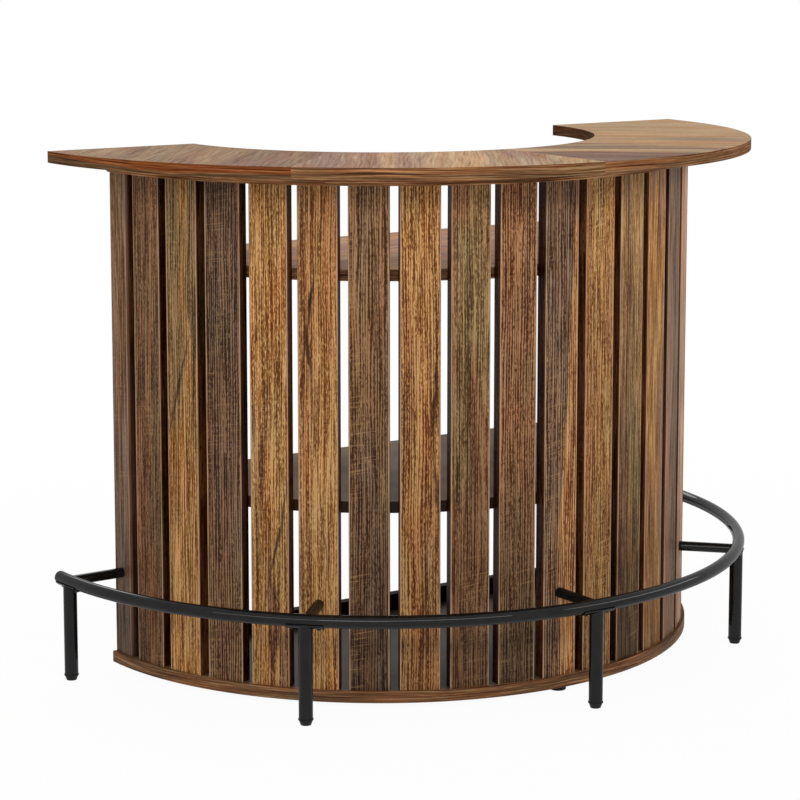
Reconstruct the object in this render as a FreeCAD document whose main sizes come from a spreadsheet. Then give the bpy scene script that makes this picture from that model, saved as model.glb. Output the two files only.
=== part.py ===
import FreeCAD, Part
import Sketcher
import math
import os
import re

# Half-round bar counter: a slatted front, two shelves, a segmented top and a round foot rail.
# Millimetres, +Z up, +Y towards the bartender, origin on the floor under the middle of the whole.
#
# Every curved line of the counter shares one upright axis, the arc axis. A piece is drawn with that
# axis as its own Z axis and with the front of the arc along -Y, and its body is then turned about
# the axis to its place. Angles are in degrees from the front, positive to the right.

SIZES = [
    # name, value, meaning
    ("total_height", 1050, "floor to the counter top's upper face"),
    ("board", 23, "thickness of every flat board"),
    ("top_radius", 770, "outer edge of the counter top"),
    ("cutout_radius", 446, "inner edge of the counter top"),
    ("top_sweep", 45, "angle of one counter top segment"),
    ("top_round", 1.5, "rounding of the counter top's curved edges"),
    ("ring_radius", 646, "outer edge of the ring under the top"),
    ("ring_width", 100, "ring's outer edge to its inner edge"),
    ("ring_end", 89.5, "angle where the ring stops at the back"),
    ("ring_seam", 42, "angle of the ring's two seams"),
    ("board_round", 1, "rounding of the edges of the boards under the top"),
    ("floor_gap", 11, "floor to the bottom board's underside"),
    ("base_radius", 648, "outer edge of the bottom board"),
    ("back_setback", 5, "arc axis to the back faces under the top"),
    ("slat_face", 640, "arc axis to a slat's outer face"),
    ("slat_width", 78, "width of a slat"),
    ("slat_thick", 26, "thickness of a slat"),
    ("slat_pitch", 8.7, "angle from slat to slat"),
    ("slat_round", 1.5, "rounding of a slat's long edges"),
    ("end_trim", 12, "taken off the back edge of the two end slats"),
    ("shelf_radius", 613.8, "curved edge of a shelf"),
    ("upper_shelf_top", 844, "floor to the upper shelf's top face"),
    ("middle_shelf_top", 398, "floor to the middle shelf's top face"),
    ("panel_inner", 518, "middle plane to an end panel's inner edge"),
    ("panel_outer", 613, "middle plane to an end panel's outer edge"),
    ("guard_rise", 36, "height of the rear guard above the bottom board"),
    ("guard_half", 608, "half the length of the rear guard"),
    ("rail_radius", 759, "arc axis to the foot rail's centre line"),
    ("rail_height", 200.5, "floor to the foot rail's centre line"),
    ("rail_tube", 25, "outer diameter of the rail tube"),
    ("tube_wall", 1.5, "wall of every tube"),
    ("weld_gap", 0.05, "play between fitted round faces"),
    ("cap_reach", 3, "end cap's thickness beyond the rail's end"),
    ("cap_bevel", 2, "bevel around an end cap"),
    ("cap_stem_sweep", 0.8, "angle of an end cap's stem inside the rail"),
    ("joiner_sweep", 6, "angle of a joiner inside the rail"),
    ("leg_pitch", 43.5, "angle from leg to leg"),
    ("leg_tube", 27, "outer diameter of a leg"),
    ("leg_foot_height", 12, "leg foot's height under the tube"),
    ("leg_foot_tip", 20, "leg foot's diameter on the floor"),
    ("leg_foot_flange", 2.5, "thickness of the leg foot's flange"),
    ("leg_foot_lip", 1, "leg foot's flange beyond the tube"),
    ("leg_foot_stem", 18, "leg foot's stem inside the tube"),
    ("stretcher_tube", 20, "outer diameter of a stretcher"),
    ("stretcher_plug", 18, "threaded plug in a stretcher's inner end"),
    ("saddle_thick", 2.5, "thickness of a saddle under the rail"),
    ("saddle_wrap", 65, "angle that a saddle wraps up each side of the rail"),
    ("saddle_sweep", 5.4, "angle of a saddle along the rail"),
    ("saddle_screw_step", 1.9, "angle from a leg to each of its saddle screws"),
    ("saddle_screw_radius", 2, "saddle screw's shank"),
    ("saddle_screw_length", 8, "saddle screw's shank"),
    ("saddle_head_radius", 4, "saddle screw's head"),
    ("saddle_head_height", 2, "saddle screw's head"),
    ("pin_radius", 3, "shelf pin"),
    ("pin_in_slat", 14, "shelf pin's depth in a slat"),
    ("pin_in_shelf", 24, "shelf pin's depth in a shelf"),
    ("dowel_radius", 4, "wooden dowel"),
    ("dowel_in_slat", 17.5, "dowel's depth in a slat"),
    ("dowel_in_board", 12.5, "dowel's depth in a board"),
    ("hole_play", 0.1, "play around a dowel, pin or screw"),
    ("hole_spare", 0.5, "depth of a blind hole beyond what is in it"),
    ("dowel_offset", 24, "slat's middle to each of its dowels"),
    ("end_dowel_offset", 19, "end slat's middle to each of its dowels"),
    ("seam_dowel_inner", 525, "arc axis to a seam's inner dowel"),
    ("seam_dowel_outer", 700, "arc axis to a seam's outer dowel"),
    ("seam_dowel_half", 20, "half the length of a seam dowel"),
    ("bolt_radius", 4, "bolt through a slat into a stretcher"),
    ("bolt_reach", 16, "bolt's length in the stretcher"),
    ("bolt_head_radius", 8, "head of that bolt"),
    ("bolt_head_height", 3.5, "head of that bolt"),
    ("screw_length", 40, "countersunk screw"),
    ("screw_radius", 2, "countersunk screw's shank"),
    ("screw_head_radius", 4, "countersunk screw's head"),
    ("screw_head_depth", 2.4, "countersunk screw's head"),
    ("top_screw_radius", 596, "arc axis to the screws from the ring into the top"),
    ("top_screw_pitch", 15, "angle from one of those screws to the next"),
    ("pad_radius", 16, "levelling foot's pad"),
    ("pad_height", 6.5, "levelling foot's pad"),
    ("pad_bevel", 1, "bevel under a levelling foot's pad"),
    ("boss_radius", 8, "levelling foot's round boss"),
    ("boss_play", 0.4, "boss to the bottom board's underside"),
    ("stud_radius", 4, "levelling foot's stud"),
    ("stud_top", 30, "floor to the stud's end"),
    ("insert_radius", 6.5, "threaded insert's sleeve"),
    ("insert_depth", 21, "threaded insert's sleeve"),
]

SLAT_COUNT = 21
LEG_COUNT = 5
TOP_COUNT = 4
TOP_SCREW_COUNT = 12
PANEL_SCREWS_X = (565, 600)
SHELF_SCREWS_X = (540, 590)
GUARD_SCREWS_X = (-500, -170, 170, 500)
# Levelling feet: distance from the arc axis, and angle.
FEET = {"front": (620, 1.2), "left": (540, -50), "right": (540, 50),
        "rear_left": (560, -84), "rear_right": (560, 84)}

ARC_AXIS_Y = "(rail_radius + leg_tube / 2 + leg_foot_lip - cap_reach) / 2"
BASE_TOP = "(floor_gap + board)"
TOP_UNDERSIDE = "(total_height - board)"
RING_UNDERSIDE = "(total_height - 2 * board)"
SLAT_MIDDLE = "(slat_face - slat_thick / 2)"
SLAT_BACK = "(slat_face - slat_thick)"
PANEL_FRONT = "(back_setback + board)"
RAIL_RADIUS = "(rail_tube / 2)"
SADDLE_RADIUS = "(rail_tube / 2 + weld_gap + saddle_thick)"
SHELF_MIDDLES = ("(upper_shelf_top - board / 2)", "(middle_shelf_top - board / 2)")

# Rotations that lay a primitive's own Z axis along another direction.
UP = FreeCAD.Rotation()
DOWN = FreeCAD.Rotation(FreeCAD.Vector(1, 0, 0), 180)
TO_BACK = FreeCAD.Rotation(FreeCAD.Vector(1, 0, 0), -90)
TO_FRONT = FreeCAD.Rotation(FreeCAD.Vector(1, 0, 0), 90)
TO_RIGHT = FreeCAD.Rotation(FreeCAD.Vector(0, 1, 0), 90)
TO_LEFT = FreeCAD.Rotation(FreeCAD.Vector(0, 1, 0), -90)

doc = FreeCAD.newDocument("bar_counter")
sheet = doc.addObject("Spreadsheet::Sheet", "Sizes")
for row, (alias, value, meaning) in enumerate(SIZES, start=1):
    sheet.set(f"A{row}", meaning)
    sheet.set(f"B{row}", str(value))
    sheet.setAlias(f"B{row}", alias)
doc.recompute()
SIZE = {alias: value for alias, value, meaning in SIZES}
subparts = []


# ---- helpers ----

def sized(text):
    """An expression with every size's name turned into a reference to its cell."""
    return re.sub(r"[a-z_]+", lambda word: "Sizes." + word[0] if word[0] in SIZE else word[0], text)


def bind(item, **rules):
    """Binds properties of an object to expressions. A double underscore stands for a dot."""
    for name, text in rules.items():
        item.setExpression(name.replace("__", "."), sized(str(text)))


def new_body(label, turn=0):
    """A sub-part on the arc axis, turned about it to its own angle."""
    body = doc.addObject("PartDesign::Body", label)
    body.Label = label
    bind(body, Placement__Base__y=ARC_AXIS_Y, Placement__Rotation__Angle=turn)
    subparts.append(body)
    return body


def spot(radius, angle, z, offset=0):
    """The place at a distance from the arc axis and an angle, moved sideways by an offset."""
    return (f"({offset}) * cos({angle}) + ({radius}) * sin({angle})",
            f"({offset}) * sin({angle}) - ({radius}) * cos({angle})", z)


def facing(rotation, degrees):
    """A direction as it is after a turn about the arc axis."""
    return FreeCAD.Rotation(FreeCAD.Vector(0, 0, 1), degrees) * rotation


def primitive(body, kind, at, rotation, **rules):
    """A PartDesign primitive of a body, such as AdditiveBox, at a place worked out from the sizes."""
    feature = body.newObject("PartDesign::" + kind, body.Label + "_" + kind)
    feature.Placement = FreeCAD.Placement(FreeCAD.Vector(), rotation)
    x, y, z = at
    bind(feature, Placement__Base__x=x, Placement__Base__y=y, Placement__Base__z=z, **rules)
    return feature


def box(body, at, length, width, height):
    return primitive(body, "AdditiveBox", at, UP, Length=length, Width=width, Height=height)


def rod(body, at, radius, height, rotation=UP):
    return primitive(body, "AdditiveCylinder", at, rotation, Radius=radius, Height=height)


def drill(body, at, radius, height, rotation=UP):
    return primitive(body, "SubtractiveCylinder", at, rotation, Radius=radius, Height=height)


def cone(body, at, start_radius, end_radius, height, rotation=UP):
    return primitive(body, "AdditiveCone", at, rotation,
                     Radius1=start_radius, Radius2=end_radius, Height=height)


def sector(body, radius, z, start, sweep):
    """A board that is a sector of a disc about the arc axis, with its point still on."""
    return primitive(body, "AdditiveCylinder", (0, 0, z), UP, Radius=radius, Height="board",
                     Angle=sweep, Placement__Rotation__Angle=f"{start} - 90")


def bend(body, kind, radius, start, sweep, **rules):
    """A stretch of the foot rail's line, as a torus about the arc axis."""
    return primitive(body, kind, (0, 0, "rail_height"), UP, Radius1="rail_radius", Radius2=radius,
                     Angle3=sweep, Placement__Rotation__Angle=f"{start} - 90", **rules)


def screw(body, at, rotation):
    """A countersunk screw, from the middle of its head's flat face."""
    return (cone(body, at, "screw_head_radius", "screw_radius", "screw_head_depth", rotation),
            rod(body, at, "screw_radius", "screw_length", rotation))


def screw_hole(body, at, rotation):
    """A countersunk hole through a board, from the face where the screw's head lies."""
    return (drill(body, at, "screw_radius + hole_play", "board", rotation),
            primitive(body, "SubtractiveCone", at, rotation,
                      Radius1="screw_head_radius + hole_play", Radius2="screw_radius + hole_play",
                      Height="screw_head_depth"))


def screw_pilot(body, at, rotation):
    """The blind hole that a screw's end bites into, from the face that meets the other board."""
    return drill(body, at, "screw_radius + hole_play", "screw_length - board + hole_spare", rotation)


def pattern(body, original, count, sweep):
    """Repeats a feature about the arc axis, over a sweep from the first to the last."""
    doc.recompute()
    polar = body.newObject("PartDesign::PolarPattern", original.Name + "_pattern")
    polar.Originals = [original]
    polar.Axis = (origin_feature(body, "Z_Axis"), [""])
    polar.Occurrences = count
    bind(polar, Angle=sweep)
    body.Tip = polar


def is_upright(edge):
    return abs(edge.tangentAt(edge.FirstParameter).z) > 0.9


def is_level(edge):
    return not is_upright(edge)


def is_curved(edge):
    return hasattr(edge.Curve, "Radius")


def ease(body, feature, chosen, radius):
    """Rounds the edges of a feature that a test chooses."""
    doc.recompute()
    names = [f"Edge{index}" for index, edge in enumerate(feature.Shape.Edges, start=1) if chosen(edge)]
    rounding = body.newObject("PartDesign::Fillet", feature.Name + "_ease")
    rounding.Base = (feature, names)
    bind(rounding, Radius=radius)


def origin_feature(body, role):
    return next(item for item in body.Origin.OriginFeatures if item.Role == role)


def half_disc(body, radius, back, z):
    """A board whose front edge is an arc about the arc axis and whose back edge is straight."""
    sketch = body.newObject("Sketcher::SketchObject", body.Label + "_outline")
    sketch.AttachmentSupport = (origin_feature(body, "XY_Plane"), [""])
    sketch.MapMode = "FlatFace"
    bind(sketch, AttachmentOffset__Base__z=z)
    left, front, right = (FreeCAD.Vector(x, y) for x, y in ((-10, -1), (0, -10), (10, -1)))
    arc = sketch.addGeometry(Part.Arc(left, front, right))
    edge = sketch.addGeometry(Part.LineSegment(right, left))
    start, end, centre = 1, 2, 3
    origin = (-1, 1)
    rules = [("Coincident", arc, centre, *origin), ("Coincident", arc, end, edge, start),
             ("Coincident", arc, start, edge, end), ("Horizontal", edge),
             ("Radius", arc, 10), ("DistanceY", edge, start, *origin, 1)]
    for rule in rules:
        sketch.addConstraint(Sketcher.Constraint(*rule))
    sketch.renameConstraint(len(rules) - 2, "curve")
    sketch.renameConstraint(len(rules) - 1, "back")
    bind(sketch, Constraints__curve=radius, Constraints__back=back)
    pad = body.newObject("PartDesign::Pad", body.Label + "_board")
    pad.Profile = sketch
    bind(pad, Length="board")
    ease(body, pad, is_level, "board_round")


# ---- where things stand ----

def slat_angle(number):
    return f"({number - (SLAT_COUNT + 1) // 2}) * slat_pitch"


def leg_angle(number):
    return f"({number - (LEG_COUNT + 1) // 2}) * leg_pitch"


def end_side(number):
    """Which way the middle of a slat moves when its back edge is trimmed: none but at the ends."""
    return {1: 1, SLAT_COUNT: -1}.get(number, 0)


def slat_shift(number):
    return f"({end_side(number)}) * end_trim / 2"


def dowel_offsets(number):
    reach = "end_dowel_offset" if end_side(number) else "dowel_offset"
    return [f"{slat_shift(number)} - {reach}", f"{slat_shift(number)} + {reach}"]


SECOND_SLAT = slat_angle(2)
MIDDLE_SLATS = SLAT_COUNT - 2
MIDDLE_SLAT_SWEEP = f"{MIDDLE_SLATS - 1} * slat_pitch"
SECOND_SLAT_DEGREES = (1 - SLAT_COUNT // 2) * SIZE["slat_pitch"]
FIRST_LEG = leg_angle(1)
FIRST_LEG_DEGREES = -(LEG_COUNT // 2) * SIZE["leg_pitch"]
LEG_SWEEP = f"{LEG_COUNT - 1} * leg_pitch"
FIRST_TOP_SCREW = f"-{(TOP_SCREW_COUNT - 1) / 2} * top_screw_pitch"
PANEL_Y = "-(back_setback + board / 2)"
GUARD_Y = f"-({PANEL_FRONT} + board / 2)"
BOLT_SLATS = range(1, SLAT_COUNT + 1, (SLAT_COUNT - 1) // (LEG_COUNT - 1))


def for_every_slat(body, make):
    """Makes what belongs to a slat's end, patterned for all but the two end slats."""
    for offset in dowel_offsets(2):
        pattern(body, make(SECOND_SLAT, offset), MIDDLE_SLATS, MIDDLE_SLAT_SWEEP)
    for number in (1, SLAT_COUNT):
        for offset in dowel_offsets(number):
            make(slat_angle(number), offset)


# ---- carcass ----

def make_slat(number):
    body = new_body(f"slat_{number:02d}", slat_angle(number))
    side = end_side(number)
    width = f"slat_width - {abs(side)} * end_trim"
    board = box(body, (f"{slat_shift(number)} - ({width}) / 2", "-slat_face", BASE_TOP),
                width, "slat_thick", f"{RING_UNDERSIDE} - {BASE_TOP}")
    ease(body, board, is_upright, "slat_round")
    depth = "dowel_in_slat + hole_spare"
    for offset in dowel_offsets(number):
        drill(body, (offset, f"-{SLAT_MIDDLE}", BASE_TOP), "dowel_radius + hole_play", depth)
        drill(body, (offset, f"-{SLAT_MIDDLE}", RING_UNDERSIDE), "dowel_radius + hole_play", depth, DOWN)
    if not side:
        for z in SHELF_MIDDLES:
            drill(body, (0, f"-{SLAT_BACK}", z), "pin_radius + hole_play",
                  "pin_in_slat + hole_spare", TO_FRONT)
    if number in BOLT_SLATS:
        drill(body, (0, f"-{SLAT_BACK}", "rail_height"), "bolt_radius + 2 * hole_play",
              "slat_thick", TO_FRONT)
        drill(body, (0, f"-{SLAT_BACK}", "rail_height"), "bolt_head_radius + 2 * hole_play",
              "bolt_head_height + hole_spare", TO_FRONT)


def make_bottom_board():
    body = new_body("bottom_board")
    half_disc(body, "base_radius", "back_setback", "floor_gap")

    def dowel_hole(angle, offset):
        depth = "(dowel_in_board + hole_spare)"
        return drill(body, spot(SLAT_MIDDLE, angle, f"{BASE_TOP} - {depth}", offset),
                     "dowel_radius + hole_play", depth)

    for_every_slat(body, dowel_hole)
    for radius, angle in FEET.values():
        drill(body, spot(radius, angle, "floor_gap"), "insert_radius", "insert_depth")
    for x in (*PANEL_SCREWS_X, *(-x for x in PANEL_SCREWS_X)):
        screw_hole(body, (x, PANEL_Y, "floor_gap"), UP)
    for x in GUARD_SCREWS_X:
        screw_hole(body, (x, GUARD_Y, "floor_gap"), UP)


def make_shelf(label, z):
    body = new_body(label)
    half_disc(body, "shelf_radius", PANEL_FRONT, f"{z} - board / 2")
    hole = drill(body, spot("shelf_radius", SECOND_SLAT, z), "pin_radius + hole_play",
                 "pin_in_shelf + hole_spare", facing(TO_BACK, SECOND_SLAT_DEGREES))
    pattern(body, hole, MIDDLE_SLATS, MIDDLE_SLAT_SWEEP)
    for x in (*SHELF_SCREWS_X, *(-x for x in SHELF_SCREWS_X)):
        screw_pilot(body, (x, f"-{PANEL_FRONT}", z), TO_FRONT)


def make_end_panel(label, side):
    body = new_body(label)
    inner_x = {1: "panel_inner", -1: "-panel_outer"}[side]
    board = box(body, (inner_x, f"-{PANEL_FRONT}", BASE_TOP), "panel_outer - panel_inner", "board",
                f"{RING_UNDERSIDE} - {BASE_TOP}")
    ease(body, board, is_upright, "board_round")
    for x in PANEL_SCREWS_X:
        screw_pilot(body, (side * x, PANEL_Y, BASE_TOP), UP)
        screw_pilot(body, (side * x, PANEL_Y, RING_UNDERSIDE), DOWN)
    for z in SHELF_MIDDLES:
        for x in SHELF_SCREWS_X:
            screw_hole(body, (side * x, "-back_setback", z), TO_FRONT)


def make_rear_guard():
    body = new_body("rear_guard")
    board = box(body, ("-guard_half", f"-({PANEL_FRONT} + board)", BASE_TOP), "2 * guard_half",
                "board", "guard_rise")
    ease(body, board, is_level, "board_round")
    for x in GUARD_SCREWS_X:
        screw_pilot(body, (x, GUARD_Y, BASE_TOP), UP)


# ---- counter top ----

def make_counter_top(number):
    middle = f"({number - (TOP_COUNT + 1) / 2}) * top_sweep"
    body = new_body(f"counter_top_{number}", middle)
    sector(body, "top_radius", TOP_UNDERSIDE, "-top_sweep / 2", "top_sweep")
    cut = drill(body, (0, 0, TOP_UNDERSIDE), "cutout_radius", "board")
    ease(body, cut, is_curved, "top_round")
    half = SIZE["top_sweep"] / 2
    seams = {"left": (number > 1, -half, TO_RIGHT), "right": (number < TOP_COUNT, half, TO_LEFT)}
    for present, degrees, inward in seams.values():
        for radius in ("seam_dowel_inner", "seam_dowel_outer"):
            if present:
                drill(body, spot(radius, degrees, f"{TOP_UNDERSIDE} + board / 2"),
                      "dowel_radius + hole_play", "seam_dowel_half + hole_spare",
                      facing(inward, degrees))
    for step in (-1, 0, 1):
        screw_pilot(body, spot("top_screw_radius", f"{step} * top_screw_pitch", TOP_UNDERSIDE), UP)


def make_top_ring(name, start, end):
    """One segment of the ring. Start and end are expressions of its angles."""
    body = new_body("top_ring_" + name)
    sector(body, "ring_radius", RING_UNDERSIDE, start, f"{end} - ({start})")
    cut = drill(body, (0, 0, RING_UNDERSIDE), "ring_radius - ring_width", "board")
    ease(body, cut, is_curved, "board_round")
    bounds = {"left": (-90, -SIZE["ring_seam"]), "middle": (-SIZE["ring_seam"], SIZE["ring_seam"]),
              "right": (SIZE["ring_seam"], 90)}[name]

    def inside(degrees):
        return bounds[0] < degrees < bounds[1]

    dowel_step = math.degrees(SIZE["dowel_offset"] / SIZE["slat_face"])
    for number in range(1, SLAT_COUNT + 1):
        for side, offset in zip((-1, 1), dowel_offsets(number)):
            middle = (number - (SLAT_COUNT + 1) // 2) * SIZE["slat_pitch"]
            if inside(middle + side * dowel_step):
                drill(body, spot(SLAT_MIDDLE, slat_angle(number), RING_UNDERSIDE, offset),
                      "dowel_radius + hole_play", "dowel_in_board + hole_spare")
    for number in range(TOP_SCREW_COUNT):
        degrees = (number - (TOP_SCREW_COUNT - 1) / 2) * SIZE["top_screw_pitch"]
        if inside(degrees):
            screw_hole(body, spot("top_screw_radius", degrees, RING_UNDERSIDE), UP)
    side = {"left": -1, "right": 1}.get(name)
    for x in PANEL_SCREWS_X:
        if side:
            screw_hole(body, (side * x, PANEL_Y, TOP_UNDERSIDE), DOWN)


# ---- foot rail ----

def make_rail_segment(number):
    """One bent tube of the rail, from one leg to the next or to an end of the rail."""
    body = new_body(f"rail_segment_{number}")
    start = "-90" if number == 1 else leg_angle(number)
    end = "90" if number == LEG_COUNT - 1 else leg_angle(number + 1)
    sweep = f"{end} - ({start})"
    bend(body, "AdditiveTorus", RAIL_RADIUS, start, sweep)
    bend(body, "SubtractiveTorus", f"{RAIL_RADIUS} - tube_wall", start, sweep)
    screws = [(number, 1), (number + 1, -1)]
    if number == 1:
        screws.append((number, -1))
    if number == LEG_COUNT - 1:
        screws.append((LEG_COUNT, 1))
    for leg, side in screws:
        saddle_screw_hole(body, f"{leg_angle(leg)} + ({side}) * saddle_screw_step")


def saddle_screw_hole(body, angle):
    return drill(body, spot("rail_radius", angle, f"rail_height - {SADDLE_RADIUS}"),
                 "saddle_screw_radius + hole_play", "saddle_screw_length + hole_spare")


def make_rail_connectors():
    body = new_body("rail_connectors")
    for leg in range(2, LEG_COUNT):
        bend(body, "AdditiveTorus", f"{RAIL_RADIUS} - tube_wall - weld_gap",
             f"{leg_angle(leg)} - joiner_sweep / 2", "joiner_sweep")
        for side in (-1, 1):
            saddle_screw_hole(body, f"{leg_angle(leg)} + ({side}) * saddle_screw_step")


def make_rail_leg(number):
    """A leg tube with a welded saddle, cut out for the rail and for the stretcher."""
    body = new_body(f"rail_leg_{number}", leg_angle(number))
    rod(body, (0, "-rail_radius", "leg_foot_height"), "leg_tube / 2",
        f"rail_height - {RAIL_RADIUS} * cos(saddle_wrap) - leg_foot_height")
    bend(body, "AdditiveTorus", SADDLE_RADIUS, "-saddle_sweep / 2", "saddle_sweep",
         Angle1="90 - saddle_wrap", Angle2="90 + saddle_wrap")
    bend(body, "SubtractiveTorus", f"{RAIL_RADIUS} + weld_gap", "-saddle_sweep", "2 * saddle_sweep")
    drill(body, (0, f"-{SLAT_BACK}", "rail_height"), "stretcher_tube / 2 + weld_gap",
          f"rail_radius - {SLAT_BACK}", TO_FRONT)
    drill(body, (0, "-rail_radius", "leg_foot_height"), "leg_tube / 2 - tube_wall",
          f"rail_height - {SADDLE_RADIUS} - leg_foot_height - tube_wall")
    for side in (-1, 1):
        saddle_screw_hole(body, f"({side}) * saddle_screw_step")


def make_stretcher(number):
    """A tube from a slat to the rail, with a threaded plug in its inner end."""
    body = new_body(f"stretcher_{number}", leg_angle(number))
    rod(body, (0, "-slat_face", "rail_height"), "stretcher_tube / 2", "rail_radius - slat_face",
        TO_FRONT)
    bend(body, "SubtractiveTorus", f"{RAIL_RADIUS} + weld_gap", "-saddle_sweep", "2 * saddle_sweep")
    drill(body, (0, "-slat_face - stretcher_plug", "rail_height"), "stretcher_tube / 2 - tube_wall",
          "rail_radius - slat_face - stretcher_plug", TO_FRONT)
    drill(body, (0, "-slat_face", "rail_height"), "bolt_radius", "bolt_reach + hole_spare", TO_FRONT)


def make_tube_plugs():
    """The feet of the legs, and the caps on the rail's two ends."""
    body = new_body("tube_plugs")
    taper_height = "leg_foot_height - leg_foot_flange"
    foot = [cone(body, spot("rail_radius", FIRST_LEG, 0), "leg_foot_tip / 2", "leg_tube / 2",
                 taper_height),
            rod(body, spot("rail_radius", FIRST_LEG, taper_height), "leg_tube / 2 + leg_foot_lip",
                "leg_foot_flange"),
            rod(body, spot("rail_radius", FIRST_LEG, "leg_foot_height"),
                "leg_tube / 2 - tube_wall - weld_gap", "leg_foot_stem")]
    for original in foot:
        pattern(body, original, LEG_COUNT, LEG_SWEEP)
    for side, stem_start in ((-1, "-90"), (1, "90 - cap_stem_sweep")):
        x = f"({side}) * rail_radius"
        bend(body, "AdditiveTorus", f"{RAIL_RADIUS} - tube_wall - weld_gap", stem_start,
             "cap_stem_sweep")
        rod(body, (x, 0, "rail_height"), RAIL_RADIUS, "cap_reach - cap_bevel", TO_BACK)
        cone(body, (x, "cap_reach - cap_bevel", "rail_height"), RAIL_RADIUS,
             f"{RAIL_RADIUS} - cap_bevel", "cap_bevel", TO_BACK)


# ---- fasteners ----

def make_rail_bolts():
    """The bolts through the slats into the stretchers, and the screws through the saddles."""
    body = new_body("rail_bolts")
    outward = facing(TO_FRONT, FIRST_LEG_DEGREES)
    head_radius = f"{SLAT_BACK} + hole_spare"
    neck_radius = f"{SLAT_BACK} + hole_spare + bolt_head_height"
    head = rod(body, spot(head_radius, FIRST_LEG, "rail_height"), "bolt_head_radius",
               "bolt_head_height", outward)
    pattern(body, head, LEG_COUNT, LEG_SWEEP)
    shank = rod(body, spot(neck_radius, FIRST_LEG, "rail_height"), "bolt_radius",
                f"slat_face + bolt_reach - ({neck_radius})", outward)
    pattern(body, shank, LEG_COUNT, LEG_SWEEP)
    for side in (-1, 1):
        angle = f"{FIRST_LEG} + ({side}) * saddle_screw_step"
        underside = f"rail_height - {SADDLE_RADIUS}"
        shank = rod(body, spot("rail_radius", angle, underside), "saddle_screw_radius",
                    "saddle_screw_length")
        pattern(body, shank, LEG_COUNT, LEG_SWEEP)
        head = rod(body, spot("rail_radius", angle, f"{underside} - saddle_head_height"),
                   "saddle_head_radius", "saddle_head_height")
        pattern(body, head, LEG_COUNT, LEG_SWEEP)


def make_wooden_dowels():
    """Two in each end of each slat, and two across each seam of the counter top."""
    body = new_body("wooden_dowels")
    length = "dowel_in_board + dowel_in_slat"
    for bottom in (f"{BASE_TOP} - dowel_in_board", f"{RING_UNDERSIDE} - dowel_in_slat"):
        for_every_slat(body, lambda angle, offset: rod(
            body, spot(SLAT_MIDDLE, angle, bottom, offset), "dowel_radius", length))
    for number in (-1, 0, 1):
        degrees = number * SIZE["top_sweep"]
        for radius in ("seam_dowel_inner", "seam_dowel_outer"):
            rod(body, spot(radius, f"{number} * top_sweep", f"{TOP_UNDERSIDE} + board / 2",
                           "-seam_dowel_half"),
                "dowel_radius", "2 * seam_dowel_half", facing(TO_RIGHT, degrees))


def make_shelf_pins():
    body = new_body("shelf_pins")
    inward = facing(TO_BACK, SECOND_SLAT_DEGREES)
    for z in SHELF_MIDDLES:
        pin = rod(body, spot(f"{SLAT_BACK} + pin_in_slat", SECOND_SLAT, z), "pin_radius",
                  "pin_in_slat + pin_in_shelf", inward)
        pattern(body, pin, MIDDLE_SLATS, MIDDLE_SLAT_SWEEP)


def make_carcass_screws():
    body = new_body("carcass_screws")
    for original in screw(body, spot("top_screw_radius", FIRST_TOP_SCREW, RING_UNDERSIDE), UP):
        pattern(body, original, TOP_SCREW_COUNT, f"{TOP_SCREW_COUNT - 1} * top_screw_pitch")
    for side in (-1, 1):
        for x in PANEL_SCREWS_X:
            screw(body, (side * x, PANEL_Y, "floor_gap"), UP)
            screw(body, (side * x, PANEL_Y, TOP_UNDERSIDE), DOWN)
        for x in SHELF_SCREWS_X:
            for z in SHELF_MIDDLES:
                screw(body, (side * x, "-back_setback", z), TO_FRONT)
    for x in GUARD_SCREWS_X:
        screw(body, (x, GUARD_Y, "floor_gap"), UP)


# ---- levelling feet ----

def make_levelling_foot(name, radius, angle):
    body = new_body("levelling_foot_" + name, angle)
    middle = f"-{radius}"
    cone(body, (0, middle, 0), "pad_radius - pad_bevel", "pad_radius", "pad_bevel")
    rod(body, (0, middle, "pad_bevel"), "pad_radius", "pad_height - pad_bevel")
    rod(body, (0, middle, "pad_height"), "boss_radius", "floor_gap - boss_play - pad_height")
    rod(body, (0, middle, "pad_height"), "stud_radius", "stud_top - pad_height")


def make_foot_inserts():
    body = new_body("foot_inserts")
    for radius, angle in FEET.values():
        rod(body, spot(radius, angle, "floor_gap"), "insert_radius", "insert_depth")
        drill(body, spot(radius, angle, "floor_gap"), "stud_radius + weld_gap", "insert_depth")


# ---- the whole ----

for number in range(1, SLAT_COUNT + 1):
    make_slat(number)
make_bottom_board()
for label, z in zip(("upper_shelf", "middle_shelf"), SHELF_MIDDLES):
    make_shelf(label, z)
make_end_panel("end_panel_left", -1)
make_end_panel("end_panel_right", 1)
make_rear_guard()
for number in range(1, TOP_COUNT + 1):
    make_counter_top(number)
make_top_ring("left", "-ring_end", "-ring_seam")
make_top_ring("middle", "-ring_seam", "ring_seam")
make_top_ring("right", "ring_seam", "ring_end")
for number in range(1, LEG_COUNT):
    make_rail_segment(number)
for number in range(1, LEG_COUNT + 1):
    make_rail_leg(number)
    make_stretcher(number)
make_rail_connectors()
make_tube_plugs()
make_rail_bolts()
make_wooden_dowels()
make_shelf_pins()
make_carcass_screws()
for name, (radius, angle) in FEET.items():
    make_levelling_foot(name, radius, angle)
make_foot_inserts()
doc.recompute()

failed = [item.Label for item in doc.Objects if {"Invalid", "Error"} & set(item.State)]
failed += [body.Label for body in subparts if body.Shape.isNull() or not body.Shape.isValid()]
if failed:
    raise RuntimeError("not built: " + ", ".join(failed))
os.makedirs("parts", exist_ok=True)
for body in subparts:
    body.Shape.exportStep(f"parts/{body.Label}.step")
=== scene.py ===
from dataclasses import dataclass
import math

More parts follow.
